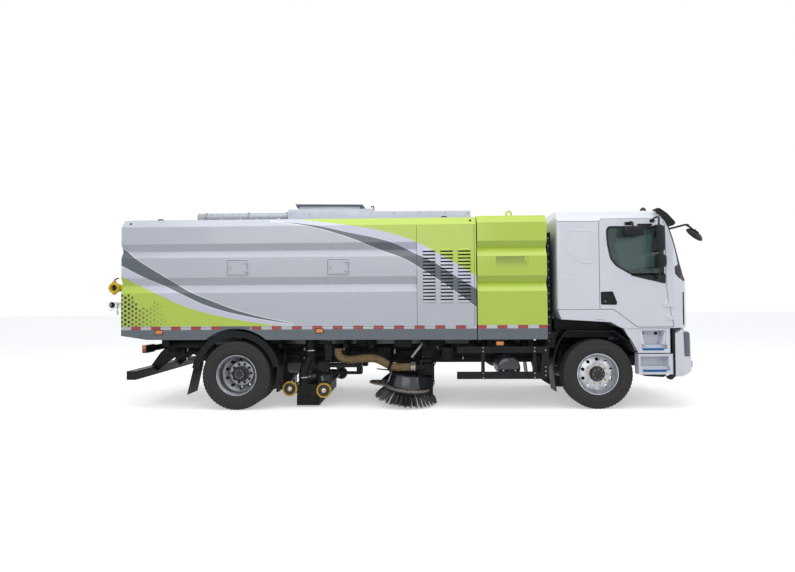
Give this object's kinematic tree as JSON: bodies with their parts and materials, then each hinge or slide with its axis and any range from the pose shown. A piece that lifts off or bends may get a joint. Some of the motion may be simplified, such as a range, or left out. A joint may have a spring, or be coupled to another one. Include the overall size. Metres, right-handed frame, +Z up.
{
  "type": "street sweeper truck",
  "caption": "Street sweeper truck with a tilting cab, a power cabinet, a tipping hopper with a tailgate and side hatches, side brushes and a suction nozzle between the axles.",
  "frame": {"origin": "on the ground, at the middle of the overall length and width", "axes": "+X forwards, +Y to the left, +Z up"},
  "size_m": [8.9498, 2.96, 3.172],
  "materials": {
    "frame_black": "satin",
    "cab_white": "gloss",
    "hopper_silver": "gloss",
    "cabinet_lime": "gloss",
    "plastic_black": "grained",
    "plastic_grey": "grained",
    "tyre": "matte",
    "rim_silver": "polished",
    "steel": "satin",
    "cast": "painted",
    "glass": "clear",
    "lamp": "clear lens",
    "cloth": "woven",
    "hose_black": "ribbed",
    "hose_tan": "woven hose",
    "bristle": "bristles",
    "caster": "matte",
    "coupling": "gloss",
    "chrome": "polished",
    "motor_grey": "satin"
  },
  "bodies": {
    "chassis": {"chassis_frame": "frame_black", "front_axle": "cast", "rear_axle": "cast", "drive_motor": "motor_grey", "power_cabinet": "cabinet_lime", "battery_pack": "motor_grey", "front_bumper": "cab_white", "lamps": "lamp", "lower_steps": "cab_white", "side_guards": "frame_black", "wheel_fenders": "plastic_black", "underrun_bar": "frame_black", "air_tank": "frame_black", "suction_hoses": "hose_black", "sweep_hoses": "hose_tan", "brush_posts": "frame_black"},
    "knuckle_left": {"knuckle_left": "cast"},
    "knuckle_right": {"knuckle_right": "cast"},
    "tie_rod": {"tie_rod": "cast"},
    "front_wheel_left": {"front_rim_left": "rim_silver", "front_tyre_left": "tyre"},
    "front_wheel_right": {"front_rim_right": "rim_silver", "front_tyre_right": "tyre"},
    "rear_wheel_left": {"rear_rims_left": "rim_silver", "rear_tyres_left": "tyre"},
    "rear_wheel_right": {"rear_rims_right": "rim_silver", "rear_tyres_right": "tyre"},
    "cab": {"cab_shell": "cab_white", "windscreen": "glass", "dashboard": "plastic_black", "seats": "cloth", "cab_steps": "cab_white", "front_mirror": "plastic_grey"},
    "door_left": {"door_left": "cab_white", "door_glass_left": "glass", "mirrors_left": "plastic_grey"},
    "door_right": {"door_right": "cab_white", "door_glass_right": "glass", "mirrors_right": "plastic_grey"},
    "hopper": {"hopper_body": "hopper_silver", "roof_duct": "hopper_silver"},
    "tailgate": {"tailgate": "hopper_silver", "rear_couplings": "coupling"},
    "hatch_rear_left": {"hatch_rear_left": "hopper_silver"},
    "hatch_front_left": {"hatch_front_left": "hopper_silver"},
    "hatch_rear_right": {"hatch_rear_right": "hopper_silver"},
    "hatch_front_right": {"hatch_front_right": "hopper_silver"},
    "tip_barrel": {"tip_barrel": "frame_black"},
    "tip_rod": {"tip_rod": "chrome"},
    "brush_arm_left": {"brush_arm_left": "plastic_grey"},
    "brush_arm_right": {"brush_arm_right": "plastic_grey"},
    "brush_left": {"brush_left": "bristle"},
    "brush_right": {"brush_right": "bristle"},
    "nozzle": {"nozzle": "frame_black"},
    "nozzle_wheels_front": {"nozzle_wheels_front": "caster"},
    "nozzle_wheels_rear": {"nozzle_wheels_rear": "caster"}
  },
  "joints": [
    {"name": "steer_left", "type": "hinge", "parent": "chassis", "child": "knuckle_left", "pos_m": [2.835, 0.87, 0.505], "axis": [0, 0, 1], "range_deg": [-35, 35]},
    {"name": "steer_right", "type": "hinge", "parent": "chassis", "child": "knuckle_right", "pos_m": [2.835, -0.87, 0.505], "axis": [0, 0, 1], "range_deg": [-35, 35]},
    {"name": "track_rod", "type": "hinge", "parent": "knuckle_left", "child": "tie_rod", "pos_m": [2.645, 0.87, 0.355], "axis": [0, 0, 1], "range_deg": [-35, 35]},
    {"name": "spin_front_left", "type": "hinge", "parent": "knuckle_left", "child": "front_wheel_left", "pos_m": [2.835, 1.035, 0.505], "axis": [0, 1, 0], "continuous": true},
    {"name": "spin_front_right", "type": "hinge", "parent": "knuckle_right", "child": "front_wheel_right", "pos_m": [2.835, -1.035, 0.505], "axis": [0, 1, 0], "continuous": true},
    {"name": "spin_rear_left", "type": "hinge", "parent": "chassis", "child": "rear_wheel_left", "pos_m": [-2.435, 0.935, 0.505], "axis": [0, 1, 0], "continuous": true},
    {"name": "spin_rear_right", "type": "hinge", "parent": "chassis", "child": "rear_wheel_right", "pos_m": [-2.435, -0.935, 0.505], "axis": [0, 1, 0], "continuous": true},
    {"name": "cab_tilt", "type": "hinge", "parent": "chassis", "child": "cab", "pos_m": [4.165, 0, 1], "axis": [0, 1, 0], "range_deg": [0, 45]},
    {"name": "door_left_swing", "type": "hinge", "parent": "cab", "child": "door_left", "pos_m": [3.887, 1.243, 1.5], "axis": [0, 0, -1], "range_deg": [0, 70]},
    {"name": "door_right_swing", "type": "hinge", "parent": "cab", "child": "door_right", "pos_m": [3.887, -1.243, 1.5], "axis": [0, 0, 1], "range_deg": [0, 70]},
    {"name": "hopper_tip", "type": "hinge", "parent": "chassis", "child": "hopper", "pos_m": [-3.665, 0, 0.96], "axis": [0, -1, 0], "range_deg": [0, 45]},
    {"name": "tailgate_swing", "type": "hinge", "parent": "hopper", "child": "tailgate", "pos_m": [-4.161, 0, 2.763], "axis": [0, 1, 0], "range_deg": [0, 85]},
    {"name": "hatch_rear_left_swing", "type": "hinge", "parent": "hopper", "child": "hatch_rear_left", "pos_m": [-2.2425, 1.258, 2.085], "axis": [0, 0, -1], "range_deg": [0, 110]},
    {"name": "hatch_front_left_swing", "type": "hinge", "parent": "hopper", "child": "hatch_front_left", "pos_m": [-0.7625, 1.258, 2.085], "axis": [0, 0, -1], "range_deg": [0, 110]},
    {"name": "hatch_rear_right_swing", "type": "hinge", "parent": "hopper", "child": "hatch_rear_right", "pos_m": [-2.2425, -1.258, 2.085], "axis": [0, 0, 1], "range_deg": [0, 110]},
    {"name": "hatch_front_right_swing", "type": "hinge", "parent": "hopper", "child": "hatch_front_right", "pos_m": [-0.7625, -1.258, 2.085], "axis": [0, 0, 1], "range_deg": [0, 110]},
    {"name": "barrel_swing", "type": "hinge", "parent": "chassis", "child": "tip_barrel", "pos_m": [-1.065, 0, 0.815], "axis": [0, 1, 0], "range_deg": [0, 11.5]},
    {"name": "rod_stroke", "type": "slide", "parent": "tip_barrel", "child": "tip_rod", "axis": [-0.9859, 0, 0.1671], "range_m": [0, 0.476]},
    {"name": "brush_arm_left_swing", "type": "hinge", "parent": "chassis", "child": "brush_arm_left", "pos_m": [0.435, 0.62, 0.4], "axis": [0, 0, -1], "range_deg": [0, 35]},
    {"name": "brush_left_spin", "type": "hinge", "parent": "brush_arm_left", "child": "brush_left", "pos_m": [0.045, 0.77, 0.095], "axis": [0.104, 0.1045, 0.9891], "continuous": true},
    {"name": "brush_arm_right_swing", "type": "hinge", "parent": "chassis", "child": "brush_arm_right", "pos_m": [0.435, -0.62, 0.4], "axis": [0, 0, 1], "range_deg": [0, 35]},
    {"name": "brush_right_spin", "type": "hinge", "parent": "brush_arm_right", "child": "brush_right", "pos_m": [0.045, -0.77, 0.095], "axis": [0.104, -0.1045, 0.9891], "continuous": true},
    {"name": "nozzle_lift", "type": "slide", "parent": "chassis", "child": "nozzle", "axis": [0, 0, -1], "range_m": [0, 0.13], "deforming": ["suction_hoses"]},
    {"name": "spin_nozzle_front", "type": "hinge", "parent": "nozzle", "child": "nozzle_wheels_front", "pos_m": [-1.178, 0, 0.254], "axis": [0, 1, 0], "continuous": true},
    {"name": "spin_nozzle_rear", "type": "hinge", "parent": "nozzle", "child": "nozzle_wheels_rear", "pos_m": [-1.69, 0, 0.28], "axis": [0, 1, 0], "continuous": true}
  ],
  "couplings": [
    {"joint": "steer_right", "follows": "steer_left", "ratio": 1},
    {"joint": "track_rod", "follows": "steer_left", "ratio": -1},
    {"joint": "barrel_swing", "follows": "hopper_tip", "ratio": 0.2527},
    {"joint": "rod_stroke", "follows": "hopper_tip", "m_per_rad": 0.604}
  ]
}
